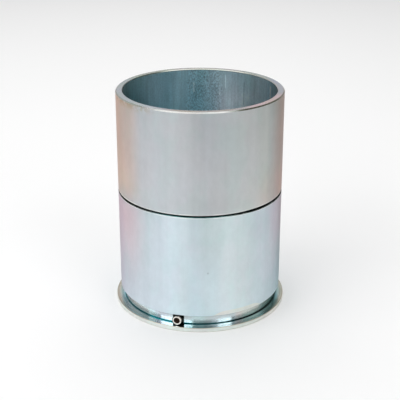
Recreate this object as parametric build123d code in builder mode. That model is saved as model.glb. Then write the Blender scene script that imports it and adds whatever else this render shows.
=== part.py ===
from build123d import *
import os

# A compaction mould for asphalt test specimens, in millimetres.
# A base plate, a mould body and a filling collar stack on one upright axis.
# The mould body has the same register at both ends, so either end fits the base plate or the collar.
# A cap screw passes an open notch in the lower register and draws the mould body against the boss.
# The origin is the centre of the base plate's underside, +Z is up, and the screw points along -Y.

# Mould body
mould_bore_diameter = 101.6
mould_height = 87.0
register_wall = 3.55
shoulder_width = 2.8
shoulder_edge_chamfer = 0.3
register_end_chamfer = 0.6
bore_end_chamfer = 0.8

# Filling collar
collar_height = 69.85
collar_bore_step = 1.6
collar_fit_clearance = 0.15
joint_gap = 1.1
recess_mouth_chamfer = 0.5
rim_outer_chamfer = 0.8
rim_bore_chamfer = 0.4

# Base plate
flange_thickness = 3.0
flange_overhang = 3.175
flange_edge_chamfer = 0.35
boss_height = 12.7
boss_fit_clearance = 0.2
boss_lead_in = 1.0

# Socket head cap screw
thread_diameter = 4.0
screw_length = 10.0
screw_tip_chamfer = 0.6
head_diameter = 7.0
head_height = 4.0
head_edge_chamfer = 0.5
socket_width = 3.0
socket_depth = 2.0
socket_mouth_chamfer = 0.5

# Screw seat
head_room = 0.15
seat_depth = 0.15
notch_clearance = 0.25
thread_clearance = 0.05
tap_run_out = 2.0

# Radii, from the bore outwards
mould_bore_radius = mould_bore_diameter / 2
register_radius = mould_bore_radius + register_wall
outside_radius = register_radius + shoulder_width
collar_bore_radius = mould_bore_radius + collar_bore_step
recess_radius = register_radius + collar_fit_clearance
flange_radius = outside_radius + flange_overhang
boss_radius = mould_bore_radius - boss_fit_clearance
seat_radius = register_radius - seat_depth
notch_radius = thread_diameter / 2 + notch_clearance
tapped_radius = thread_diameter / 2 + thread_clearance

# The register is just long enough for the screw head to sit between the shoulder and the flange.
register_length = head_diameter + 2 * head_room
shoulder_length = mould_height - 2 * register_length
recess_depth = register_length - joint_gap
boss_root_radius = bore_end_chamfer / 2
tapped_depth = screw_length - (seat_radius - boss_radius) + tap_run_out

# Heights, from the underside up
mould_foot = flange_thickness
lower_shoulder = mould_foot + register_length
upper_shoulder = lower_shoulder + shoulder_length
collar_foot = upper_shoulder + joint_gap
screw_level = mould_foot + register_length / 2

corner = (Align.MIN, Align.MIN)

# Base plate: a thin turned flange with a boss that centres the mould body
with BuildPart() as base_plate:
    with BuildSketch(Plane.XZ):
        Rectangle(flange_radius, flange_thickness, align=corner)
        with Locations((0, flange_thickness)):
            Rectangle(boss_radius, boss_height, align=corner)
    revolve(axis=Axis.Z)
    boss_edges, flange_edges = base_plate.edges().filter_by(GeomType.CIRCLE).group_by(SortBy.RADIUS)
    boss_foot, boss_top = boss_edges.sort_by(Axis.Z)
    chamfer(flange_edges, flange_edge_chamfer)
    chamfer(boss_top, boss_lead_in)
    fillet(boss_foot, boss_root_radius)
    with Locations(Plane((0, -boss_radius, screw_level), x_dir=(1, 0, 0), z_dir=(0, -1, 0))):
        Hole(tapped_radius, tapped_depth)
base_plate.part.label = "base_plate"

# Mould body: a tube whose thick middle stops short of both ends and leaves the two registers
with BuildPart() as mould_body:
    with BuildSketch(Plane.XZ):
        with Locations((mould_bore_radius, mould_foot)):
            Rectangle(register_wall, mould_height, align=corner)
        with Locations((register_radius, lower_shoulder)):
            Rectangle(shoulder_width, shoulder_length, align=corner)
    revolve(axis=Axis.Z)
    mould_rings = mould_body.edges().filter_by(GeomType.CIRCLE).group_by(SortBy.RADIUS)
    bore_ends, register_rings, shoulder_edges = mould_rings
    register_ends = [register_rings.sort_by(Axis.Z)[0], register_rings.sort_by(Axis.Z)[-1]]
    chamfer(shoulder_edges, shoulder_edge_chamfer)
    chamfer(bore_ends, bore_end_chamfer)
    chamfer(register_ends, register_end_chamfer)
    # A flat on the lower register gives the screw head an even seat.
    with BuildSketch(Plane.XZ.offset(seat_radius)):
        with Locations((0, screw_level)):
            Rectangle(2 * head_diameter, register_length)
    extrude(amount=shoulder_width, mode=Mode.SUBTRACT)
    # An open notch lets the mould body lift off with the screw still in the boss.
    with BuildSketch(Plane.XZ.offset(mould_bore_radius / 2)):
        with Locations((0, screw_level)):
            Circle(notch_radius)
            Rectangle(2 * notch_radius, register_length / 2, align=(Align.CENTER, Align.MAX))
    extrude(amount=mould_bore_radius, mode=Mode.SUBTRACT)
mould_body.part.label = "mould_body"

# Filling collar: a tube with a recess in its foot that drops over the mould body's upper register
with BuildPart() as filling_collar:
    with BuildSketch(Plane.XZ):
        with Locations((collar_bore_radius, collar_foot)):
            Rectangle(outside_radius - collar_bore_radius, collar_height, align=corner)
            Rectangle(recess_radius - collar_bore_radius, recess_depth, align=corner, mode=Mode.SUBTRACT)
    revolve(axis=Axis.Z)
    collar_rings = filling_collar.edges().filter_by(GeomType.CIRCLE).group_by(Axis.Z)
    recess_mouth, foot_edge = collar_rings[0].sort_by(SortBy.RADIUS)
    rim_bore, rim_edge = collar_rings[-1].sort_by(SortBy.RADIUS)
    chamfer(rim_edge, rim_outer_chamfer)
    chamfer(rim_bore, rim_bore_chamfer)
    chamfer(foot_edge, shoulder_edge_chamfer)
    chamfer(recess_mouth, recess_mouth_chamfer)
filling_collar.part.label = "filling_collar"

# Clamp screw: its head seats on the register's flat and its shank goes into the boss
with BuildPart(Plane((0, -seat_radius, screw_level), x_dir=(1, 0, 0), z_dir=(0, -1, 0))) as clamp_screw:
    Cylinder(head_diameter / 2, head_height, align=(Align.CENTER, Align.CENTER, Align.MIN))
    Cylinder(thread_diameter / 2, screw_length, align=(Align.CENTER, Align.CENTER, Align.MAX))
    screw_rings = clamp_screw.edges().filter_by(GeomType.CIRCLE).group_by(Axis.Y)
    chamfer(screw_rings[0], head_edge_chamfer)
    chamfer(screw_rings[-1], screw_tip_chamfer)
    with BuildSketch(clamp_screw.faces().sort_by(Axis.Y)[0]):
        RegularPolygon(socket_width / 2, 6, major_radius=False)
    extrude(amount=-socket_depth, mode=Mode.SUBTRACT)
    socket_mouth = clamp_screw.faces().sort_by(Axis.Y)[0].inner_wires()[0].edges()
    chamfer(socket_mouth, socket_mouth_chamfer)
clamp_screw.part.label = "clamp_screw"

os.makedirs("parts", exist_ok=True)
export_step(base_plate.part, "parts/base_plate.step")
export_step(mould_body.part, "parts/mould_body.step")
export_step(filling_collar.part, "parts/filling_collar.step")
export_step(clamp_screw.part, "parts/clamp_screw.step")
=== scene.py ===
import math

import bmesh
import bpy
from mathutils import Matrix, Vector


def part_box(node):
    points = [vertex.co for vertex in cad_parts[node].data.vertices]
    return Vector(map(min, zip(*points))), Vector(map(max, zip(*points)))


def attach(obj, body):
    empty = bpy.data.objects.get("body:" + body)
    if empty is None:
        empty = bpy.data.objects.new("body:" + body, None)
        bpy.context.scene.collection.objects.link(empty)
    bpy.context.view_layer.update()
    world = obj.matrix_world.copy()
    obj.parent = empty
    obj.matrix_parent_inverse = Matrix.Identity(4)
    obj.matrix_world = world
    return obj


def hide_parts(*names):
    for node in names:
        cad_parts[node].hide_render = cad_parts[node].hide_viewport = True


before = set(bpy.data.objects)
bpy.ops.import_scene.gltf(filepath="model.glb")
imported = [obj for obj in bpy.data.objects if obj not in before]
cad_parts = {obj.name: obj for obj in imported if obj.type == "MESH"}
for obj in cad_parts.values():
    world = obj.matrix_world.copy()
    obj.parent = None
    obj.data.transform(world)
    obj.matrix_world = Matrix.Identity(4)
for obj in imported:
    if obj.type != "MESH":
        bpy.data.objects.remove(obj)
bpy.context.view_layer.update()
scene = bpy.context.scene

# Everything is in metres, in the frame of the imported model: +Z up along the mould's axis.
# An azimuth is an angle round that axis, measured from -Y towards +X.
MM = 0.001
COLLAR_LOW, COLLAR_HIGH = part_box("filling_collar")
MOULD_LOW, MOULD_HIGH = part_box("mould_body")
SCREW_LOW, SCREW_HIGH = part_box("clamp_screw")
OUTSIDE_RADIUS = COLLAR_HIGH.x
FLANGE_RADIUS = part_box("base_plate")[1].x

# Camera

CAMERA_AZIMUTH = math.radians(15.7)
CAMERA_DISTANCE = 0.6331
CAMERA_HEIGHT = 0.3272
CAMERA_PITCH = math.radians(21.933)
CAMERA_LENS = 86.92


def place_on_circle(azimuth, distance, height):
    """The point at an azimuth, a distance from the axis and a height."""
    return Vector((distance * math.sin(azimuth), -distance * math.cos(azimuth), height))


def make_camera():
    """The camera, at the photograph's angle."""
    data = bpy.data.cameras.new("camera")
    data.lens = CAMERA_LENS
    camera = bpy.data.objects.new("camera", data)
    camera.location = place_on_circle(CAMERA_AZIMUTH, CAMERA_DISTANCE, CAMERA_HEIGHT)
    camera.rotation_euler = (math.pi / 2 - CAMERA_PITCH, 0, CAMERA_AZIMUTH)
    scene.collection.objects.link(camera)
    scene.camera = camera


# Node helpers

# Where most of a noise value lies
NOISE_LOW = 0.3
NOISE_HIGH = 0.7

# Half the width of the step from one colour to the next
EDGE = 0.03 * MM

BUMP_STRENGTH = 0.5
BUMP_DEPTH = 0.01 * MM


def feed(tree, socket, value):
    """Links a socket to an input, or sets a constant on it."""
    if isinstance(value, bpy.types.NodeSocket):
        tree.links.new(value, socket)
    else:
        socket.default_value = value


def add(tree, kind, inputs=None, **settings):
    """A new shader node. Its inputs are given by name or number, as values or as sockets to link."""
    made = tree.nodes.new("ShaderNode" + kind)
    for key, value in settings.items():
        setattr(made, key, value)
    for key, value in (inputs or {}).items():
        feed(tree, made.inputs[key], value)
    return made


def calc(tree, operation, first, second=0.0):
    """The result of one Math node."""
    return add(tree, "Math", {0: first, 1: second}, operation=operation).outputs[0]


def times(tree, first, second):
    """The product of two values."""
    return calc(tree, "MULTIPLY", first, second)


def ramp(tree, value, low, high, to_low=0.0, to_high=1.0):
    """The value taken smoothly from to_low at low to to_high at high."""
    inputs = {"Value": value, "From Min": low, "From Max": high, "To Min": to_low, "To Max": to_high}
    return add(tree, "MapRange", inputs, interpolation_type="SMOOTHSTEP").outputs["Result"]


def step(tree, value, limit):
    """1 above a limit and 0 below it."""
    return ramp(tree, value, limit - EDGE, limit + EDGE)


def spread(tree, value, to_low, to_high):
    """A noise value taken from its usual range to the given one."""
    return ramp(tree, value, NOISE_LOW, NOISE_HIGH, to_low, to_high)


def blend(tree, factor, first, second, blend_type="MIX"):
    """Two colours mixed."""
    inputs = {0: factor, 6: first, 7: second}
    return add(tree, "Mix", inputs, data_type="RGBA", blend_type=blend_type).outputs[2]


def tone(tree, factor, colour, tint):
    """The colour multiplied by a tint, as far as the factor says."""
    return blend(tree, factor, colour, tint, "MULTIPLY")


def noise(tree, vector, scale, detail=2.0, roughness=0.5):
    """A noise value, around 0.5."""
    inputs = {"Vector": vector, "Scale": scale, "Detail": detail, "Roughness": roughness}
    return add(tree, "TexNoise", inputs).outputs["Fac"]


def bumped(tree, height):
    """The surface's normal over a fine relief."""
    inputs = {"Strength": BUMP_STRENGTH, "Distance": BUMP_DEPTH, "Height": height}
    return add(tree, "Bump", inputs).outputs[0]


def new_material(name):
    """An empty node material: its tree, and the Principled shader that goes to its output."""
    material = bpy.data.materials.new(name)
    material.use_nodes = True
    tree = material.node_tree
    tree.nodes.clear()
    shader = add(tree, "BsdfPrincipled")
    add(tree, "OutputMaterial", {"Surface": shader.outputs[0]})
    return material, tree, shader


class TurnedPlace:
    """Where a point of a turned piece lies: its height, its radius and coordinates for streaks."""

    def __init__(self, tree):
        self.tree = tree
        self.point = add(tree, "TexCoord").outputs["Object"]
        self.x, self.y, self.z = add(tree, "SeparateXYZ", {0: self.point}).outputs
        self.flat = self.level(0.0)
        self.radius = add(tree, "VectorMath", {0: self.flat}, operation="LENGTH").outputs["Value"]

    def level(self, height):
        """The point with its height replaced."""
        return add(self.tree, "CombineXYZ", {0: self.x, 1: self.y, 2: height}).outputs[0]

    def upright(self, stretch):
        """Coordinates whose pattern is drawn out along the axis."""
        return self.level(calc(self.tree, "DIVIDE", self.z, stretch))

    def turned(self, stretch):
        """Coordinates whose pattern runs round the axis, on walls and on flat faces alike."""
        along = calc(self.tree, "ADD", self.z, self.radius)
        x = calc(self.tree, "DIVIDE", self.x, stretch)
        y = calc(self.tree, "DIVIDE", self.y, stretch)
        return add(self.tree, "CombineXYZ", {0: x, 1: y, 2: along}).outputs[0]

    def facing(self, azimuth):
        """The cosine of the angle round the axis from a given azimuth."""
        inputs = {0: self.flat, 1: place_on_circle(azimuth, 1.0, 0.0)}
        along = add(self.tree, "VectorMath", inputs, operation="DOT_PRODUCT").outputs["Value"]
        return calc(self.tree, "DIVIDE", along, self.radius)

    def above(self, height):
        """1 above a height and 0 below it."""
        return step(self.tree, self.z, height)

    def outside(self, radius):
        """1 outside a radius and 0 inside it."""
        return step(self.tree, self.radius, radius)


# Zinc plating on turned steel

# Heights and radii that part one surface from the next
REGISTER_LENGTH = 7.3 * MM
LOWER_SHOULDER = MOULD_LOW.z + REGISTER_LENGTH
UPPER_SHOULDER = MOULD_HIGH.z - REGISTER_LENGTH
NECK_RADIUS = OUTSIDE_RADIUS - 2.8 * MM
BORE_LIMIT = OUTSIDE_RADIUS - 4.0 * MM

# The two sides of the mould as the camera sees it
RIGHT_SIDE = math.radians(106)
LEFT_SIDE = math.radians(-74)

# Tints that multiply the colour under them, and colours
WARM_CLOUD = (1.01, 0.985, 0.97, 1.0)
GREEN_CLOUD = (0.955, 1.005, 0.985, 1.0)
# Nearly black: dirt and painted shade in the joints, and painted shade round the screw
DIRT_AND_SHADE = (0.008, 0.016, 0.016, 1.0)
# A painted highlight along the joint's edges
EDGE_HIGHLIGHT = (0.93, 0.96, 0.95, 1.0)

# Distances from an edge between which its painted highlight line sets in and ends
EDGE_HIGHLIGHT_START = (0.3 * MM, 0.4 * MM)
EDGE_HIGHLIGHT_END = (0.8 * MM, 1.2 * MM)

# A quarter turn, so that highlights are drawn out along the axis
ANISOTROPIC_ROTATION = 0.25


def clouded(tree, place, colour):
    """The colour with warm and green clouds, upright streaks and a fine mottle."""
    warm = noise(tree, place.upright(2.5), scale=26.0, detail=3.0)
    green = noise(tree, place.upright(1.6), scale=58.0, detail=4.0, roughness=0.6)
    streak = noise(tree, place.upright(30.0), scale=120.0, detail=4.0, roughness=0.6)
    mottle = noise(tree, place.upright(1.5), scale=240.0, detail=4.0, roughness=0.65)
    colour = tone(tree, ramp(tree, warm, 0.4, 0.66), colour, WARM_CLOUD)
    colour = tone(tree, ramp(tree, green, 0.42, 0.62), colour, GREEN_CLOUD)
    shade = times(tree, spread(tree, streak, 0.975, 1.022), spread(tree, mottle, 0.978, 1.022))
    return tone(tree, 1.0, colour, shade)


def zinc(name, look):
    """Bright zinc over turned steel, with patchy gloss and a fine relief."""
    material, tree, shader = new_material(name)
    place = TurnedPlace(tree)
    colour, edge_tint, roughness, anisotropy, relief = look(tree, place)
    smudge = noise(tree, place.point, scale=45.0, detail=4.0)
    roughness = calc(tree, "ADD", roughness, spread(tree, smudge, -0.02, 0.04))
    tangent = add(tree, "Tangent", direction_type="RADIAL", axis="Z").outputs[0]
    feed(tree, shader.inputs["Base Color"], clouded(tree, place, colour))
    feed(tree, shader.inputs["Specular Tint"], edge_tint)
    feed(tree, shader.inputs["Roughness"], roughness)
    feed(tree, shader.inputs["Normal"], bumped(tree, relief))
    feed(tree, shader.inputs["Tangent"], tangent)
    feed(tree, shader.inputs["Anisotropic"], anisotropy)
    feed(tree, shader.inputs["Anisotropic Rotation"], ANISOTROPIC_ROTATION)
    feed(tree, shader.inputs["Metallic"], 1.0)
    return material


def patch(tree, place, azimuth, inner, outer):
    """1 round one azimuth and 0 further off than outer, all in degrees."""
    narrow = math.cos(math.radians(inner))
    wide = math.cos(math.radians(outer))
    return ramp(tree, place.facing(math.radians(azimuth)), wide, narrow)


def patched(tree, place, colour, tints):
    """The colour multiplied by tints, each in a patch round its own azimuth."""
    for azimuth, inner, outer, tint in tints:
        colour = tone(tree, patch(tree, place, azimuth, inner, outer), colour, tint)
    return colour


def tinted(tree, place, colour, foot, tints):
    """The colour multiplied by tints in uneven patches, each growing from one height to another."""
    wander = noise(tree, place.upright(2.0), scale=30.0, detail=3.0)
    uneven = ramp(tree, wander, 0.25, 0.6, 0.7, 1.0)
    for azimuth, inner, outer, (low, high), tint in tints:
        around = times(tree, patch(tree, place, azimuth, inner, outer), uneven)
        height = ramp(tree, place.z, foot + low, foot + high)
        colour = tone(tree, times(tree, around, height), colour, tint)
    return colour


def side_lit_edge_tint(tree, place, right, left):
    """The colour of grazing reflections, which changes from one side of the mould to the other: painted
    light on the left and painted shade on the right.
    """
    return blend(tree, ramp(tree, place.facing(LEFT_SIDE), 0.2, 0.9), right, left)


def grain_noise(tree, place):
    """The fine grain of the plated steel, about 1 mm across."""
    return noise(tree, place.upright(1.3), scale=1000.0, detail=2.0, roughness=0.7)


def edge_highlight_line(tree, place, colour, height):
    """The colour with a painted highlight: a thin, broken bright line on both sides of an edge at the
    given height.
    """
    off_edge = calc(tree, "ABSOLUTE", calc(tree, "SUBTRACT", place.z, height))
    near = ramp(tree, off_edge, *EDGE_HIGHLIGHT_START)
    far = ramp(tree, off_edge, *EDGE_HIGHLIGHT_END)
    broken = ramp(tree, noise(tree, place.flat, scale=70.0), 0.4, 0.6, 0.25, 0.7)
    line = times(tree, calc(tree, "SUBTRACT", near, far), broken)
    return blend(tree, line, colour, EDGE_HIGHLIGHT)


# How far the dark of the joint, dirt and painted shade, creeps over the chamfers beside it
RIGHT_CREEP = 0.36 * MM
LEFT_CREEP = 0.18 * MM


def joint_dark_creep(tree, place):
    """How far the joint's dark spreads, dirt and painted shade: furthest on the right, and not at the
    front.
    """
    right = ramp(tree, place.facing(RIGHT_SIDE), 0.2, 0.7, 0.0, RIGHT_CREEP)
    left = ramp(tree, place.facing(LEFT_SIDE), 0.45, 0.7, 0.0, LEFT_CREEP)
    return calc(tree, "ADD", left, right)


# The bore of collar and mould

BORE_BLUE = (0.42, 0.62, 0.695, 1.0)

# The greyer stretch, painted light on the inner wall at the right that also greys its blue: tint, azimuth
# with inner and outer reach in degrees, and depth of full strength
GREY_AND_LIGHT_TINT = (1.9, 1.42, 1.36, 1.0)
GREY_AND_LIT_STRETCH = (142, 24, 46)
GREY_AND_LIT_DEPTH = 26 * MM

# The speckled stretch: azimuth, and inner and outer reach in degrees
SPECKLED_STRETCH = (192, 1, 20)

# Depths below the rim between which the tints and the speckled stretch fade out
FADE_START = 33 * MM
FADE_END = 58 * MM

# Tints in the bore, mostly painted light at the back and right and painted shade on the left: azimuth,
# inner and outer reach in degrees, and colour
BORE_TINTS = (
    (176, 8, 20, (0.98, 0.88, 0.88, 1.0)),
    (196, 6, 14, (1.12, 1.13, 1.13, 1.0)),
    (163, 6, 15, (1.06, 1.12, 1.12, 1.0)),
    (146, 8, 18, (1.15, 1.05, 1.03, 1.0)),
    (-90, 14, 36, (0.80, 0.85, 0.82, 1.0)),
)

# Upright lines in the bore: azimuth in degrees, half width, top and foot below the rim, and tint
BORE_LINES = (
    (175.0, 0.55 * MM, 3.6 * MM, 13.3 * MM, (1.48, 1.42, 1.42, 1.0)),
    (179.8, 0.45 * MM, 11.5 * MM, 19.0 * MM, (1.40, 1.34, 1.34, 1.0)),
    (200.6, 0.60 * MM, 10.0 * MM, 17.0 * MM, (2.00, 1.70, 1.65, 1.0)),
    (158.5, 0.35 * MM, 7.0 * MM, 24.0 * MM, (0.42, 0.46, 0.48, 1.0)),
    (126.5, 1.35 * MM, 4.0 * MM, 12.5 * MM, (2.25, 1.88, 1.74, 1.0)),
)

# Half the length over which a line's ends fade
LINE_FADE = 1 * MM


def bore_line(tree, place, azimuth, half_width, top, foot):
    """1 along an upright line in the bore, between two depths below the rim."""
    aside = times(tree, place.facing(math.radians(azimuth + 90)), place.radius)
    line = ramp(tree, calc(tree, "ABSOLUTE", aside), half_width / 2, half_width, 1.0, 0.0)
    line = times(tree, line, ramp(tree, place.facing(math.radians(azimuth)), 0.0, 0.1))
    depth = calc(tree, "SUBTRACT", COLLAR_HIGH.z, place.z)
    line = times(tree, line, ramp(tree, depth, top - LINE_FADE, top + LINE_FADE))
    return times(tree, line, ramp(tree, depth, foot - LINE_FADE, foot + LINE_FADE, 1.0, 0.0))


def speckle_strength(tree, place, upper):
    """How strong the bore's speckle is: faint all over, and full in a ragged stretch at the back."""
    stretch = times(tree, upper, patch(tree, place, *SPECKLED_STRETCH))
    ragged = calc(tree, "ADD", stretch, noise(tree, place.point, scale=190.0, detail=3.0))
    return ramp(tree, ragged, 0.8, 1.35, 0.24, 1.0)


def bore_colour(tree, place):
    """Blue-green with upright streaks, speckled at the back, greyer and painted lighter beside that,
    painted shade on the left, with a few lines.
    """
    # Painted light on the right inner wall, stronger deeper down, that also greys the blue
    grey = ramp(tree, place.z, COLLAR_HIGH.z - GREY_AND_LIT_DEPTH, COLLAR_HIGH.z, 1.0, 0.25)
    grey = times(tree, grey, patch(tree, place, *GREY_AND_LIT_STRETCH))
    colour = tone(tree, grey, BORE_BLUE, GREY_AND_LIGHT_TINT)
    upper = ramp(tree, place.z, COLLAR_HIGH.z - FADE_END, COLLAR_HIGH.z - FADE_START)
    colour = blend(tree, upper, colour, patched(tree, place, colour, BORE_TINTS))
    streak = noise(tree, place.upright(14.0), scale=520.0, detail=3.0, roughness=0.6)
    colour = tone(tree, 1.0, colour, spread(tree, streak, 0.92, 1.08))
    speckle = spread(tree, grain_noise(tree, place), 0.65, 1.3)
    colour = tone(tree, speckle_strength(tree, place, upper), colour, speckle)
    for azimuth, half_width, top, foot, tint in BORE_LINES:
        line = bore_line(tree, place, azimuth, half_width, top, foot)
        colour = tone(tree, line, colour, tint)
    return colour


# Filling collar

COLLAR_GREY = (0.555, 0.586, 0.62, 1.0)
COLLAR_ROUGHNESS = 0.36
COLLAR_ANISOTROPY = 0.80
# Grazing-reflection tints of the collar, warmer and brighter on the left as painted light, darker on the
# right as painted shade
COLLAR_RIGHT_EDGE = (0.60, 0.51, 0.47, 1.0)
COLLAR_LEFT_EDGE = (0.82, 0.67, 0.60, 1.0)
COLLAR_DIRT_AND_SHADE_TOP = COLLAR_LOW.z + 0.15 * MM

# Heights above a piece's foot for a tint that reaches all the way down
WHOLE_HEIGHT = (-10 * MM, 0.0)

# Tints on the collar's wall, partly its orange and olive colour and partly painted light and shade:
# azimuth, inner and outer reach in degrees, heights above the foot, colour
COLLAR_TINTS = (
    (-58, 15, 33, (-4 * MM, 14 * MM), (1.22, 0.97, 0.845, 1.0)),
    (66, 12, 36, WHOLE_HEIGHT, (1.0, 1.0, 0.92, 1.0)),
    (99, 10, 31, (-10 * MM, 10 * MM), (1.02, 0.88, 0.84, 1.0)),
    (88, 14, 36, (34 * MM, 8 * MM), (1.16, 1.02, 1.0, 1.0)),
    (-24, 6, 17, WHOLE_HEIGHT, (1.06, 1.055, 1.06, 1.0)),
)

# Narrow bands of painted shade and painted highlight on the collar's wall: azimuth, inner and outer reach
# in degrees, and colour
COLLAR_LIGHT_BANDS = (
    (29, 2, 9, (0.94, 0.94, 0.925, 1.0)),
    (49, 4, 12, (1.05, 1.03, 1.05, 1.0)),
    (77, 5, 12, (0.89, 0.89, 0.92, 1.0)),
)

# The stain under the rim: azimuth with inner and outer reach in degrees, depths, and tint
STAINED_STRETCH = (-41, 14, 28)
STAIN_TOP = COLLAR_HIGH.z - 1 * MM
STAIN_FOOT = COLLAR_HIGH.z - 6 * MM
STAIN_BROWN = (0.86, 0.79, 0.66, 1.0)


def stained(tree, place, colour):
    """The colour with a patchy brown stain under the front of the rim."""
    stain = ramp(tree, noise(tree, place.point, scale=260.0, detail=3.0), 0.38, 0.54)
    stain = times(tree, stain, patch(tree, place, *STAINED_STRETCH))
    stain = times(tree, stain, ramp(tree, place.z, STAIN_FOOT, STAIN_TOP))
    return tone(tree, stain, colour, STAIN_BROWN)


def collar_wall(tree, place):
    """Grey zinc, orange along both sides of the collar and olive between, with bands of painted light and
    shade and painted shade darker towards the top.
    """
    colour = tinted(tree, place, COLLAR_GREY, COLLAR_LOW.z, COLLAR_TINTS)
    colour = patched(tree, place, colour, COLLAR_LIGHT_BANDS)
    # Painted shade: darker towards the top of the collar
    dulled_and_shaded = ramp(tree, place.z, COLLAR_LOW.z, COLLAR_HIGH.z, 1.03, 0.95)
    return stained(tree, place, tone(tree, 1.0, colour, dulled_and_shaded))


# The collar's rim, with a chamfer outside and a smaller one inside

RIM_CHAMFER = 0.8 * MM
RIM_FOOT = COLLAR_HIGH.z - RIM_CHAMFER + 0.02 * MM
INNER_EDGE_RADIUS = OUTSIDE_RADIUS - 4.35 * MM
INNER_EDGE_FOOT = COLLAR_HIGH.z - 0.42 * MM
RIM_ROUGHNESS = 0.20
RIM_EDGE = (1.0, 0.97, 0.98, 1.0)
RIM_OLIVE = (0.70, 0.71, 0.66, 1.0)
RIM_LILAC = (0.72, 0.71, 0.72, 1.0)
CHAMFER_GREY = (0.60, 0.60, 0.59, 1.0)
INNER_EDGE_OLIVE = (0.66, 0.67, 0.61, 1.0)
INNER_EDGE_PINK = (0.94, 0.86, 0.87, 1.0)

# Tints on the rim's top, partly its lilac and pink colour and partly painted shade at the front and
# painted light at the sides: azimuth, inner and outer reach in degrees, and colour
RIM_TINTS = (
    (16, 12, 34, (0.90, 0.83, 0.82, 1.0)),
    (70, 10, 26, (1.42, 1.10, 1.14, 1.0)),
    (112, 12, 26, (1.0, 1.04, 1.22, 1.0)),
    (-58, 34, 60, (1.05, 1.17, 1.26, 1.0)),
    (-122, 10, 28, (0.90, 1.0, 0.88, 1.0)),
    (146, 10, 24, (0.88, 1.02, 0.98, 1.0)),
)

# Tints on the outer chamfer, in the same way: painted shade in olive brown on the right, and a painted
# highlight on the left
CHAMFER_TINTS = (
    (80, 34, 42, (0.60, 0.56, 0.46, 1.0)),
    (58, 20, 28, (0.55, 0.58, 0.55, 1.0)),
    (-46, 14, 24, (1.12, 1.16, 1.08, 1.0)),
)

# Tints on the inner edge, in the same way: painted shade on both sides
INNER_EDGE_TINTS = (
    (-92, 32, 50, (0.12, 0.17, 0.16, 1.0)),
    (76, 22, 40, (0.62, 0.66, 0.64, 1.0)),
)


def rim_colour(tree, place):
    """Lilac and olive zinc that drifts from brown at the front to blue and pink at the sides."""
    drift = ramp(tree, noise(tree, place.point, scale=40.0, detail=3.0), 0.4, 0.6)
    return patched(tree, place, blend(tree, drift, RIM_OLIVE, RIM_LILAC), RIM_TINTS)


def chamfer_colour(tree, place):
    """Bright at the front, with a painted highlight on the left of the rim's chamfer and painted shade in
    olive brown on the right.
    """
    return patched(tree, place, CHAMFER_GREY, CHAMFER_TINTS)


def inner_edge_colour(tree, place):
    """Pink along the front of the rim's inner edge, olive at the back, and dark on both sides as painted
    shade.
    """
    front = ramp(tree, place.facing(CAMERA_AZIMUTH), -0.7, 0.2)
    return patched(tree, place, blend(tree, front, INNER_EDGE_OLIVE, INNER_EDGE_PINK), INNER_EDGE_TINTS)


def collar_look(tree, place):
    """The collar's wall, bore and rim, and dirt with painted shade under the foot."""
    rim = place.above(RIM_FOOT)
    chamfer = times(tree, rim, place.outside(OUTSIDE_RADIUS - RIM_CHAMFER))
    inner_edge = calc(tree, "SUBTRACT", 1.0, place.outside(INNER_EDGE_RADIUS))
    inner_edge = times(tree, inner_edge, place.above(INNER_EDGE_FOOT))
    wall = edge_highlight_line(tree, place, collar_wall(tree, place), COLLAR_LOW.z)
    colour = blend(tree, place.outside(BORE_LIMIT), bore_colour(tree, place), wall)
    colour = blend(tree, rim, colour, rim_colour(tree, place))
    colour = blend(tree, chamfer, colour, chamfer_colour(tree, place))
    colour = blend(tree, inner_edge, colour, inner_edge_colour(tree, place))
    # Dirt and painted shade at the collar's foot, in the joint
    above_dark = calc(tree, "SUBTRACT", place.z, joint_dark_creep(tree, place))
    colour = blend(tree, step(tree, above_dark, COLLAR_DIRT_AND_SHADE_TOP), DIRT_AND_SHADE, colour)
    wall_edge = side_lit_edge_tint(tree, place, COLLAR_RIGHT_EDGE, COLLAR_LEFT_EDGE)
    edge_tint = blend(tree, rim, wall_edge, RIM_EDGE)
    roughness = ramp(tree, rim, 0.0, 1.0, COLLAR_ROUGHNESS, RIM_ROUGHNESS)
    return colour, edge_tint, roughness, COLLAR_ANISOTROPY, grain_noise(tree, place)


# Mould body

MOULD_BLUE = (0.66, 0.752, 0.822, 1.0)
MOULD_ROUGHNESS = 0.32
MOULD_ANISOTROPY = 0.88
# Grazing-reflection tints of the mould, darker on the right as painted shade, brighter on the left as
# painted light
MOULD_RIGHT_LOW_EDGE = (0.40, 0.46, 0.47, 1.0)
MOULD_RIGHT_HIGH_EDGE = (0.50, 0.45, 0.45, 1.0)
MOULD_LEFT_EDGE = (0.66, 0.58, 0.61, 1.0)
LOW_EDGE_TOP = MOULD_LOW.z + 25 * MM
HIGH_EDGE_FOOT = MOULD_HIGH.z - 20 * MM
PAINTED_SHEEN_TOP = LOWER_SHOULDER + 16 * MM

# Tints on the mould's wall, partly its pink and green colour and partly painted light and shade: azimuth,
# inner and outer reach in degrees, heights above the foot, colour
MOULD_TINTS = (
    (-60, 10, 40, (5 * MM, 80 * MM), (1.22, 0.92, 0.92, 1.0)),
    (98, 10, 34, (15 * MM, 78 * MM), (1.10, 0.91, 0.93, 1.0)),
    (-30, 10, 26, WHOLE_HEIGHT, (0.96, 0.95, 0.945, 1.0)),
    (36, 10, 24, WHOLE_HEIGHT, (0.98, 1.0, 0.965, 1.0)),
    (66, 6, 18, WHOLE_HEIGHT, (0.94, 0.94, 0.94, 1.0)),
    (-1, 4, 11, (45 * MM, 65 * MM), (1.08, 1.06, 1.06, 1.0)),
    (25, 3, 9, (45 * MM, 65 * MM), (0.94, 0.97, 0.96, 1.0)),
    (18, 5, 13, (60 * MM, 35 * MM), (1.01, 1.05, 1.06, 1.0)),
)

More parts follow.
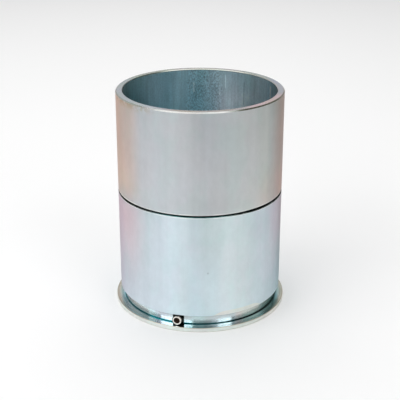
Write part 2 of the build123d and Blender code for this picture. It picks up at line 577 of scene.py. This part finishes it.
# A narrow band of painted highlight on the mould's wall: azimuth, inner and outer reach in degrees, and
# colour
MOULD_LIGHT_BANDS = (
    (40, 4, 12, (1.06, 1.04, 1.04, 1.0)),
)

# The rubbed crescent: azimuth with inner and outer reach in degrees, size and colour
RUBBED_STRETCH = (44, 5, 23)
CRESCENT_HEIGHT = 3.4 * MM
CRESCENT_FADE = 0.5 * MM
CRESCENT_CREAM = (0.86, 0.87, 0.83, 1.0)

# The nick: place, radii between which it fades, and colour
NICK_PLACE = place_on_circle(math.radians(21), OUTSIDE_RADIUS, 42.6 * MM)
NICK_FADE = (0.3 * MM, 1.0 * MM)
NICK_GREY = (0.42, 0.52, 0.56, 1.0)


def rubbed(tree, place, colour):
    """The colour with a cream crescent low on the wall and one small nick."""
    reach = ramp(tree, patch(tree, place, *RUBBED_STRETCH), 0.0, 1.0, 0.0, CRESCENT_HEIGHT)
    rise = calc(tree, "SUBTRACT", place.z, LOWER_SHOULDER)
    crescent = ramp(tree, calc(tree, "SUBTRACT", reach, rise), 0.0, CRESCENT_FADE, 0.0, 0.85)
    colour = blend(tree, crescent, colour, CRESCENT_CREAM)
    inputs = {0: place.point, 1: NICK_PLACE}
    off_nick = add(tree, "VectorMath", inputs, operation="DISTANCE").outputs["Value"]
    return blend(tree, ramp(tree, off_nick, *NICK_FADE, 0.6, 0.0), colour, NICK_GREY)


def mould_wall(tree, place):
    """Clear blue zinc, pink high on both sides and a little greener between, with painted light and shade
    in patches, painted shade darker towards the top and a painted sheen just above the neck.
    """
    colour = tinted(tree, place, MOULD_BLUE, MOULD_LOW.z, MOULD_TINTS)
    # Painted shade darker towards the top, and a painted sheen just above the neck
    dulled_and_shaded = ramp(tree, place.z, MOULD_LOW.z, MOULD_HIGH.z, 1.08, 0.96)
    painted_sheen = ramp(tree, place.z, LOWER_SHOULDER, PAINTED_SHEEN_TOP, 1.06, 1.0)
    colour = tone(tree, 1.0, colour, times(tree, dulled_and_shaded, painted_sheen))
    return rubbed(tree, place, patched(tree, place, colour, MOULD_LIGHT_BANDS))


# The mould body's upper ledge, where the joint line shows

LEDGE_DIRT_SHADE_FOOT = UPPER_SHOULDER - 0.22 * MM
LEDGE_DIRT_SHADE_TOP = UPPER_SHOULDER + 1.2 * MM
LEDGE_CORNER = OUTSIDE_RADIUS - 2.9 * MM
LEDGE_RIM = OUTSIDE_RADIUS - 0.4 * MM
# Colours of the ledge, darkened as painted shade in the joint, teal at the front
LEDGE_DARK = (0.10, 0.12, 0.115, 1.0)
LEDGE_DULL = (0.36, 0.42, 0.41, 1.0)
LEDGE_TEAL = (0.12, 0.38, 0.37, 1.0)

# The teal stretch of the ledge: azimuth, and inner and outer reach in degrees
TEAL_STRETCH = (10, 8, 32)


def ledge_colour(tree, place):
    """Dirt and painted shade in the corner of the ledge, thinning out to darkened zinc, cleaner in
    places.
    """
    patchy = noise(tree, place.point, scale=500.0, detail=4.0, roughness=0.6)
    clean = ramp(tree, place.radius, LEDGE_CORNER, LEDGE_RIM)
    clean = times(tree, clean, spread(tree, patchy, 0.5, 1.0))
    worn = noise(tree, place.flat, scale=85.0, detail=3.0, roughness=0.6)
    dulled_and_shaded = blend(tree, ramp(tree, worn, 0.46, 0.62), LEDGE_DARK, LEDGE_DULL)
    dulled_and_shaded = blend(tree, patch(tree, place, *TEAL_STRETCH), dulled_and_shaded, LEDGE_TEAL)
    return blend(tree, clean, DIRT_AND_SHADE, dulled_and_shaded)


def ledge_dirt_and_shade(tree, place):
    """1 on the ledge, on the register's foot above it and on the chamfer that the dark reaches, dirt and
    painted shade.
    """
    reached = calc(tree, "ADD", place.z, joint_dark_creep(tree, place))
    joint = step(tree, reached, LEDGE_DIRT_SHADE_FOOT)
    joint = calc(tree, "SUBTRACT", joint, place.above(LEDGE_DIRT_SHADE_TOP))
    return times(tree, joint, place.outside(BORE_LIMIT))


# The foot: the mould body's neck and the flange under it

# Paler stretches of painted highlight round the screw and to the right of it: azimuth, and inner and
# outer reach in degrees
PALE_HIGHLIGHT_STRETCHES = (
    (-5, 9, 17),
    (33, 9, 17),
)

# Neck colours, painted brighter on the left and darker on the right as light and shade, and paler as
# painted highlight
NECK_LEFT = (0.80, 0.96, 0.98, 1.0)
NECK_RIGHT = (0.62, 0.79, 0.81, 1.0)
NECK_HIGHLIGHT_PALE = (0.70, 0.75, 0.79, 1.0)
NECK_TOP = LOWER_SHOULDER - 0.05 * MM
# The neck's painted light turns to painted shade between these heights, towards the shoulder
NECK_BRIGHT = MOULD_LOW.z + 2 * MM
NECK_DIM = LOWER_SHOULDER - 1 * MM
NECK_ROUGHNESS = 0.175

# Tints on the neck, mostly painted light on the left and painted shade at the right end: azimuth, inner
# and outer reach in degrees, and colour
NECK_TINTS = (
    (-18, 5, 12, (0.91, 0.90, 0.93, 1.0)),
    (54, 7, 14, (1.36, 1.08, 1.02, 1.0)),
    (-40, 14, 30, (1.20, 1.18, 1.18, 1.0)),
    (84, 6, 20, (0.62, 0.62, 0.60, 1.0)),
)

# The painted shadow in the groove between neck and flange: colours, and height on the neck
GROOVE_TEAL = (0.02, 0.43, 0.47, 1.0)
GROOVE_GREEN = (0.006, 0.06, 0.05, 1.0)
GROOVE_LEFT_HEIGHT = 0.85 * MM
GROOVE_RIGHT_HEIGHT = 0.6 * MM

# The flat under the screw's head, painted dark as shade and reflection of the head: half widths between
# which it ends, and colour
SEAT_FADE = (3.9 * MM, 4.1 * MM)
SEAT_SHADE_GREY = (0.05, 0.06, 0.055, 1.0)


def foot_colour(tree, place, left, right, pale):
    """Blue-green zinc at the foot of the mould, painted brighter on the left and darker on the right as
    light and shade, and paler as painted highlight round the screw and to the right of it.
    """
    colour = blend(tree, ramp(tree, place.facing(RIGHT_SIDE), -0.4, 0.6), left, right)
    for stretch in PALE_HIGHLIGHT_STRETCHES:
        colour = blend(tree, patch(tree, place, *stretch), colour, pale)
    return colour


def groove_shadow(tree, place):
    """The painted shadow in the groove above the flange: teal on the left and dark green on the right."""
    return blend(tree, ramp(tree, place.facing(RIGHT_SIDE), 0.0, 0.8), GROOVE_TEAL, GROOVE_GREEN)


def shaded_seat(tree, place, colour):
    """The colour with mottled painted shade on the flat that the screw's head sits on."""
    seat = ramp(tree, calc(tree, "ABSOLUTE", place.x), *SEAT_FADE, 1.0, 0.0)
    seat = times(tree, seat, ramp(tree, place.facing(0.0), 0.5, 0.6))
    seat_mottle = ramp(tree, noise(tree, place.point, scale=700.0, detail=3.0), 0.4, 0.65)
    return blend(tree, seat, colour, blend(tree, seat_mottle, DIRT_AND_SHADE, SEAT_SHADE_GREY))


def neck_colour(tree, place):
    """The neck, with painted shade darker towards the wall above it, a painted shadow in the groove and
    painted shade on the flat under the screw.
    """
    colour = foot_colour(tree, place, NECK_LEFT, NECK_RIGHT, NECK_HIGHLIGHT_PALE)
    colour = patched(tree, place, colour, NECK_TINTS)
    # Painted shade under the shoulder
    shoulder_shade = ramp(tree, place.z, NECK_BRIGHT, NECK_DIM, 1.15, 0.80)
    colour = tone(tree, 1.0, colour, shoulder_shade)
    height = ramp(tree, place.facing(RIGHT_SIDE), -0.4, 0.2, GROOVE_LEFT_HEIGHT, GROOVE_RIGHT_HEIGHT)
    above_dark = calc(tree, "SUBTRACT", place.z, height)
    colour = blend(tree, step(tree, above_dark, MOULD_LOW.z), groove_shadow(tree, place), colour)
    return shaded_seat(tree, place, colour)


def mould_look(tree, place):
    """The mould body's wall and bore, a neck with painted light and shade, dirt and painted shade in the
    upper joint, and a painted shadow in the groove at the foot.
    """
    neck = calc(tree, "SUBTRACT", 1.0, place.above(NECK_TOP))
    wall = edge_highlight_line(tree, place, mould_wall(tree, place), UPPER_SHOULDER)
    colour = blend(tree, neck, wall, neck_colour(tree, place))
    colour = blend(tree, place.outside(BORE_LIMIT), bore_colour(tree, place), colour)
    colour = blend(tree, ledge_dirt_and_shade(tree, place), colour, ledge_colour(tree, place))
    higher = ramp(tree, place.z, LOW_EDGE_TOP, HIGH_EDGE_FOOT)
    right_edge = blend(tree, higher, MOULD_RIGHT_LOW_EDGE, MOULD_RIGHT_HIGH_EDGE)
    edge_tint = side_lit_edge_tint(tree, place, right_edge, MOULD_LEFT_EDGE)
    roughness = ramp(tree, neck, 0.0, 1.0, MOULD_ROUGHNESS, NECK_ROUGHNESS)
    return colour, edge_tint, roughness, MOULD_ANISOTROPY, grain_noise(tree, place)


# Base plate

# Flange colours, painted brighter on the left and darker on the right as light and shade, and paler as
# painted highlight
FLANGE_LEFT = (0.62, 0.82, 0.85, 1.0)
FLANGE_RIGHT = (0.51, 0.74, 0.77, 1.0)
FLANGE_HIGHLIGHT_PALE = (0.62, 0.71, 0.76, 1.0)
FLANGE_ENDS = (1.45, 1.02, 0.88, 1.0)
FLANGE_CORNER = FLANGE_RADIUS - 0.4 * MM
FLANGE_SIDE = FLANGE_RADIUS - 0.05 * MM
CORNER_BROWN = (0.58, 0.53, 0.45, 1.0)
CORNER_END_BROWN = (0.48, 0.43, 0.33, 1.0)
SIDE_PALE = (0.89, 0.92, 0.90, 1.0)
BASE_EDGE = (1.0, 0.92, 0.88, 1.0)
FLANGE_ROUGHNESS = 0.14
SIDE_ROUGHNESS = 0.5
BASE_ANISOTROPY = 0.7

# Tints on the base plate, painted shade on the left and at the right end: azimuth, inner and outer reach
# in degrees, and colour
BASE_TINTS = (
    (-40, 12, 26, (0.84, 0.84, 0.84, 1.0)),
    (76, 5, 16, (0.76, 0.70, 0.68, 1.0)),
)

# A stretch of painted shade on the flange alone: azimuth with inner and outer reach in degrees, and tint
SHADED_STRETCH = (17, 5, 12)
FLANGE_SHADE = (0.62, 0.72, 0.72, 1.0)

# Radii between which the browner ends and the painted shade of the flange alone set in
FLANGE_FADE = (OUTSIDE_RADIUS - 1 * MM, OUTSIDE_RADIUS + 2 * MM)

# How far the groove's painted shadow reaches over the flange, and where it fades out beyond that and
# under the neck
GROOVE_SHADOW_LEFT_WIDTH = 0.5 * MM
GROOVE_SHADOW_RIGHT_WIDTH = 1.0 * MM
GROOVE_SHADOW_OUTER_FADE = (-0.2 * MM, 0.3 * MM)
GROOVE_SHADOW_INNER_FADE = (-1.4 * MM, -0.4 * MM)


def flange_tinted(tree, place, colour, ends):
    """The colour with browner ends and painted shade in stretches on the flange."""
    outer = ramp(tree, place.radius, *FLANGE_FADE)
    colour = tone(tree, times(tree, ends, outer), colour, FLANGE_ENDS)
    shaded = times(tree, patch(tree, place, *SHADED_STRETCH), outer)
    colour = tone(tree, shaded, colour, FLANGE_SHADE)
    return patched(tree, place, colour, BASE_TINTS)


def flange_groove_shadow(tree, place):
    """How much of the groove's painted shadow lies on the flange: a ring round the neck, wider on the
    right.
    """
    off_neck = calc(tree, "SUBTRACT", place.radius, NECK_RADIUS)
    width = ramp(tree, place.facing(RIGHT_SIDE), -0.4, 0.5, GROOVE_SHADOW_LEFT_WIDTH, GROOVE_SHADOW_RIGHT_WIDTH)
    outward = ramp(tree, calc(tree, "SUBTRACT", off_neck, width), *GROOVE_SHADOW_OUTER_FADE, 0.8, 0.0)
    return times(tree, outward, ramp(tree, off_neck, *GROOVE_SHADOW_INNER_FADE))


def base_look(tree, place):
    """Turning marks about 1.3 mm apart, painted light and shade, a painted shadow round the neck, a brown
    line along the flange's corner and a pale side.
    """
    rings = noise(tree, place.turned(40.0), scale=760.0, detail=3.0, roughness=0.7)
    colour = foot_colour(tree, place, FLANGE_LEFT, FLANGE_RIGHT, FLANGE_HIGHLIGHT_PALE)
    colour = tone(tree, 1.0, colour, spread(tree, rings, 0.8, 1.14))
    ends = ramp(tree, calc(tree, "ABSOLUTE", place.facing(RIGHT_SIDE)), 0.7, 0.95)
    colour = flange_tinted(tree, place, colour, ends)
    colour = blend(tree, flange_groove_shadow(tree, place), colour, groove_shadow(tree, place))
    corner = place.outside(FLANGE_CORNER)
    colour = blend(tree, corner, colour, blend(tree, ends, CORNER_BROWN, CORNER_END_BROWN))
    colour = blend(tree, place.outside(FLANGE_SIDE), colour, SIDE_PALE)
    roughness = ramp(tree, corner, 0.0, 1.0, FLANGE_ROUGHNESS, SIDE_ROUGHNESS)
    return colour, BASE_EDGE, roughness, BASE_ANISOTROPY, rings


def dress(node, material):
    """Gives a CAD node its material."""
    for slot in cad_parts[node].material_slots:
        slot.material = material


# Clamp screw: a knurled head with a hexagon socket, and a threaded shank

SCREW_SIDES = 84
SCREW_AXIS = (SCREW_LOW.z + SCREW_HIGH.z) / 2
SCREW_LENGTH = SCREW_HIGH.y - SCREW_LOW.y
HEAD_RADIUS = (SCREW_HIGH.x - SCREW_LOW.x) / 2
HEAD_HEIGHT = 4.0 * MM
HEAD_CHAMFER = 0.5 * MM
HEAD_FOOT_CHAMFER = 0.2 * MM
KNURL_GROOVE = 0.12 * MM
KNURL_START = 0.8 * MM
KNURL_FULL = 0.95 * MM
SOCKET_WIDTH = 3.0 * MM
SOCKET_DEPTH = 2.0 * MM
SOCKET_MOUTH_WIDTH = 4.0 * MM
SOCKET_MOUTH_DEPTH = 0.5 * MM
SOCKET_POINT = 0.5 * MM
THREAD_RADIUS = 1.98 * MM
THREAD_DEPTH = 0.4 * MM
THREAD_PITCH = 0.7 * MM
RINGS_PER_PITCH = 8
TIP_CHAMFER = 0.6 * MM
SHARP_ANGLE = math.radians(28)


def round_ring(radius):
    """Radii of a circle."""
    return [radius] * SCREW_SIDES


def hexagon_ring(width):
    """Radii of a hexagon that is width across its flats."""
    radii = []
    for side in range(SCREW_SIDES):
        off_flat = (side * 360 / SCREW_SIDES) % 60 - 30
        radii.append(width / 2 / math.cos(math.radians(off_flat)))
    return radii


def knurled_ring(radius):
    """Radii of a ring of fine straight grooves, one on every other side."""
    return [radius - KNURL_GROOVE * (side % 2) for side in range(SCREW_SIDES)]


def thread_ring(depth):
    """Radii of one slice through the thread, which the chamfer cuts at the tip."""
    from_tip = SCREW_LENGTH - depth
    crest = min(THREAD_RADIUS, THREAD_RADIUS - TIP_CHAMFER + from_tip)
    radii = []
    for side in range(SCREW_SIDES):
        turn = (depth / THREAD_PITCH + side / SCREW_SIDES) % 1.0
        radii.append(min(crest, THREAD_RADIUS - THREAD_DEPTH * abs(2 * turn - 1)))
    return radii


def screw_rings():
    """Each ring's depth behind the end face and its radii, from the socket's floor to the tip."""
    rings = [
        (SOCKET_DEPTH, hexagon_ring(SOCKET_WIDTH)),
        (SOCKET_MOUTH_DEPTH, hexagon_ring(SOCKET_WIDTH)),
        (0.0, hexagon_ring(SOCKET_MOUTH_WIDTH)),
        (0.0, round_ring(HEAD_RADIUS - HEAD_CHAMFER)),
        (HEAD_CHAMFER, round_ring(HEAD_RADIUS)),
        (KNURL_START, round_ring(HEAD_RADIUS)),
        (KNURL_FULL, knurled_ring(HEAD_RADIUS)),
        (HEAD_HEIGHT - HEAD_FOOT_CHAMFER, knurled_ring(HEAD_RADIUS)),
        (HEAD_HEIGHT, round_ring(HEAD_RADIUS - 2 * KNURL_GROOVE)),
        (HEAD_HEIGHT, round_ring(THREAD_RADIUS - THREAD_DEPTH / 2)),
    ]
    ring_step = THREAD_PITCH / RINGS_PER_PITCH
    count = int((SCREW_LENGTH - HEAD_HEIGHT) / ring_step)
    for index in range(1, count):
        depth = HEAD_HEIGHT + index * ring_step
        rings.append((depth, thread_ring(depth)))
    rings.append((SCREW_LENGTH, round_ring(THREAD_RADIUS - TIP_CHAMFER)))
    return rings


def screw_mesh():
    """The screw's closed mesh, lofted through its rings along Y."""
    shape = bmesh.new()
    loops = []
    for depth, radii in screw_rings():
        loop = []
        for side, radius in enumerate(radii):
            angle = 2 * math.pi * side / SCREW_SIDES
            x = radius * math.cos(angle)
            z = SCREW_AXIS + radius * math.sin(angle)
            loop.append(shape.verts.new((x, SCREW_LOW.y + depth, z)))
        loops.append(loop)
    for near, far in zip(loops, loops[1:]):
        for side in range(SCREW_SIDES):
            after = (side + 1) % SCREW_SIDES
            shape.faces.new((near[side], near[after], far[after], far[side]))
    socket_point = shape.verts.new((0, SCREW_LOW.y + SOCKET_DEPTH + SOCKET_POINT, SCREW_AXIS))
    tip_centre = shape.verts.new((0, SCREW_HIGH.y, SCREW_AXIS))
    for centre, loop in ((socket_point, loops[0]), (tip_centre, loops[-1])):
        for side in range(SCREW_SIDES):
            shape.faces.new((centre, loop[side], loop[(side + 1) % SCREW_SIDES]))
    bmesh.ops.recalc_face_normals(shape, faces=shape.faces)
    mesh = bpy.data.meshes.new("socket_head_screw")
    shape.to_mesh(mesh)
    shape.free()
    mesh.shade_smooth()
    mesh.set_sharp_from_angle(angle=SHARP_ANGLE)
    return mesh


def make_screw():
    """The screw, in place of the CAD screw."""
    mesh = screw_mesh()
    mesh.materials.append(black_oxide())
    screw = bpy.data.objects.new("socket_head_screw", mesh)
    scene.collection.objects.link(screw)
    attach(screw, "screw")
    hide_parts("clamp_screw")


# Black oxide on the screw: colours, each as two shades of its grit, gloss and specular level
RUBBED_METAL = ((0.97, 0.93, 0.87, 1.0), (0.85, 0.79, 0.71, 1.0))
OXIDE_BLACK = ((0.008, 0.009, 0.009, 1.0), (0.02, 0.018, 0.015, 1.0))
SOCKET_BROWN = ((0.015, 0.012, 0.01, 1.0), (0.10, 0.06, 0.04, 1.0))
OXIDE_ROUGHNESS = 0.42
RUBBED_ROUGHNESS = 0.2
OXIDE_SPECULAR = 0.04

# Where the screw is rubbed, with a painted highlight on the chamfer's upper right, each as a pair of
# lengths between which it fades, and its socket's radius
FACE_DEPTH = (0.01 * MM, 0.08 * MM)
FACE_INNER_RADIUS = (2.15 * MM, 2.25 * MM)
CORNER_REACH = (3.4 * MM, 4.1 * MM)
CORNER_DEPTH = (0.4 * MM, 0.5 * MM)
SOCKET_RADIUS = (1.75 * MM, 1.85 * MM)


def rubbed_face_and_highlight(tree, x, rise, depth, off_axis):
    """1 where the end face is rubbed bright, and less on the upper right of its chamfer, where it is a
    painted highlight.
    """
    face = ramp(tree, depth, *FACE_DEPTH, 1.0, 0.0)
    face = times(tree, face, ramp(tree, off_axis, *FACE_INNER_RADIUS))
    # Painted highlight on the upper right of the chamfer
    corner = ramp(tree, calc(tree, "ADD", x, rise), *CORNER_REACH, 0.0, 0.45)
    corner = times(tree, corner, ramp(tree, depth, *CORNER_DEPTH, 1.0, 0.0))
    return calc(tree, "MAXIMUM", face, corner)


def black_oxide():
    """Black oxide, rubbed bright on the end face, with brown dirt in the socket."""
    material, tree, shader = new_material("screw_black")
    point = add(tree, "TexCoord").outputs["Object"]
    x, y, z = add(tree, "SeparateXYZ", {0: point}).outputs
    depth = calc(tree, "SUBTRACT", y, SCREW_LOW.y)
    rise = calc(tree, "SUBTRACT", z, SCREW_AXIS)
    across = add(tree, "CombineXYZ", {0: x, 1: rise}).outputs[0]
    off_axis = add(tree, "VectorMath", {0: across}, operation="LENGTH").outputs["Value"]
    grit = noise(tree, point, scale=2500.0, detail=3.0)
    worn = rubbed_face_and_highlight(tree, x, rise, depth, off_axis)
    worn = times(tree, worn, ramp(tree, grit, 0.25, 0.45, 0.75, 1.0))
    bright = blend(tree, ramp(tree, grit, 0.35, 0.7), *RUBBED_METAL)
    black = blend(tree, ramp(tree, grit, 0.4, 0.7), *OXIDE_BLACK)
    brown = blend(tree, ramp(tree, grit, 0.4, 0.6), *SOCKET_BROWN)
    in_socket = ramp(tree, off_axis, *SOCKET_RADIUS, 1.0, 0.0)
    dark = blend(tree, in_socket, black, brown)
    roughness = ramp(tree, worn, 0.0, 1.0, OXIDE_ROUGHNESS, RUBBED_ROUGHNESS)
    roughness = calc(tree, "ADD", roughness, spread(tree, grit, -0.03, 0.05))
    feed(tree, shader.inputs["Normal"], bumped(tree, grit))
    feed(tree, shader.inputs["Base Color"], blend(tree, worn, dark, bright))
    feed(tree, shader.inputs["Metallic"], worn)
    feed(tree, shader.inputs["Roughness"], roughness)
    feed(tree, shader.inputs["Specular IOR Level"], OXIDE_SPECULAR)
    return material


# Studio

FLOOR_HALF_SIZE = 30.0
FLOOR_COLOUR = (0.98, 0.98, 0.98, 1.0)
FLOOR_ROUGHNESS = 0.9


def make_floor():
    """A plain pale floor without gloss."""
    half = FLOOR_HALF_SIZE
    mesh = bpy.data.meshes.new("floor")
    corners = [(-half, -half, 0), (half, -half, 0), (half, half, 0), (-half, half, 0)]
    mesh.from_pydata(corners, [], [(0, 1, 2, 3)])
    floor = bpy.data.objects.new("floor", mesh)
    scene.collection.objects.link(floor)
    material, tree, shader = new_material("pale_floor")
    shader.inputs["Base Color"].default_value = FLOOR_COLOUR
    shader.inputs["Roughness"].default_value = FLOOR_ROUGHNESS
    shader.inputs["Specular IOR Level"].default_value = 0.0
    mesh.materials.append(material)


# The point that the side lights face
LIGHT_TARGET = Vector((0, 0, 0.08))

# Side lights: name, turn from the camera and elevation in degrees, distance, width, height, radiance
SIDE_LIGHTS = (
    ("left_softbox", -35.6, 27, 2.5, 2.04, 0.45, 2.8),
    ("right_softbox", 37, 27, 2.5, 0.84, 0.45, 2.6),
    ("left_high_softbox", -58, 41, 1.8, 1.6, 0.4, 3.4),
    ("right_high_softbox", 40, 45, 1.7, 1.0, 0.45, 2.0),
)

# The overhead light: height, reach from the axis to each side as the camera sees it, and radiance
OVERHEAD_HEIGHT = 1.2
OVERHEAD_FRONT = 0.60
OVERHEAD_BACK = 1.5
OVERHEAD_LEFT = 0.78
OVERHEAD_RIGHT = 0.66
OVERHEAD_RADIANCE = 1.1


def make_softbox(name, place, rotation, width, height, radiance):
    """A soft lamp, seen in reflections but not by the camera."""
    data = bpy.data.lights.new(name, "AREA")
    data.shape = "RECTANGLE"
    data.size = width
    data.size_y = height
    data.energy = radiance * math.pi * width * height
    lamp = bpy.data.objects.new(name, data)
    lamp.location = place
    lamp.rotation_euler = rotation
    lamp.visible_camera = False
    scene.collection.objects.link(lamp)


def make_side_light(name, turn, elevation, distance, width, height, radiance):
    """A softbox that faces the mould, turned from the camera's side and raised by angles in degrees."""
    raised = math.radians(elevation)
    azimuth = CAMERA_AZIMUTH + math.radians(turn)
    rise = LIGHT_TARGET.z + distance * math.sin(raised)
    place = place_on_circle(azimuth, distance * math.cos(raised), rise)
    rotation = (LIGHT_TARGET - place).to_track_quat("-Z", "Y").to_euler()
    make_softbox(name, place, rotation, width, height, radiance)


def make_overhead():
    """A level soft panel above the mould, reaching further behind it than before it."""
    front = place_on_circle(CAMERA_AZIMUTH, 1.0, 0.0)
    right = Vector((-front.y, front.x, 0.0))
    middle = front * (OVERHEAD_FRONT - OVERHEAD_BACK) / 2
    middle += right * (OVERHEAD_RIGHT - OVERHEAD_LEFT) / 2
    middle.z = OVERHEAD_HEIGHT
    width = OVERHEAD_LEFT + OVERHEAD_RIGHT
    depth = OVERHEAD_FRONT + OVERHEAD_BACK
    make_softbox("overhead", middle, (0, 0, CAMERA_AZIMUTH), width, depth, OVERHEAD_RADIANCE)


# The room's light before and behind the mould, and its horizon with the rises between which it ends
ROOM_FRONT = 0.24
ROOM_BACK = 0.5
HORIZON_GREY = (0.5, 0.5, 0.5, 1.0)
HORIZON_LOW = 0.13
HORIZON_HIGH = 0.22


def make_world():
    """A grey room that is darker before the mould than behind it, over a level grey horizon."""
    world = bpy.data.worlds.new("studio")
    world.use_nodes = True
    tree = world.node_tree
    tree.nodes.clear()
    way = add(tree, "TexCoord").outputs["Generated"]
    inputs = {0: way, 1: place_on_circle(CAMERA_AZIMUTH, 1.0, 0.0)}
    facing = add(tree, "VectorMath", inputs, operation="DOT_PRODUCT").outputs["Value"]
    rise = add(tree, "SeparateXYZ", {0: way}).outputs["Z"]
    room = ramp(tree, facing, -0.6, 0.6, ROOM_BACK, ROOM_FRONT)
    room = blend(tree, ramp(tree, rise, HORIZON_LOW, HORIZON_HIGH), HORIZON_GREY, room)
    back = add(tree, "Background", {"Color": room, "Strength": 1.0})
    add(tree, "OutputWorld", {"Surface": back.outputs[0]})
    scene.world = world


make_camera()
make_floor()
make_world()
make_overhead()
for light in SIDE_LIGHTS:
    make_side_light(*light)

dress("base_plate", zinc("base_zinc", base_look))
dress("mould_body", zinc("mould_zinc", mould_look))
dress("filling_collar", zinc("collar_zinc", collar_look))
make_screw()

scene.view_settings.view_transform = "Standard"
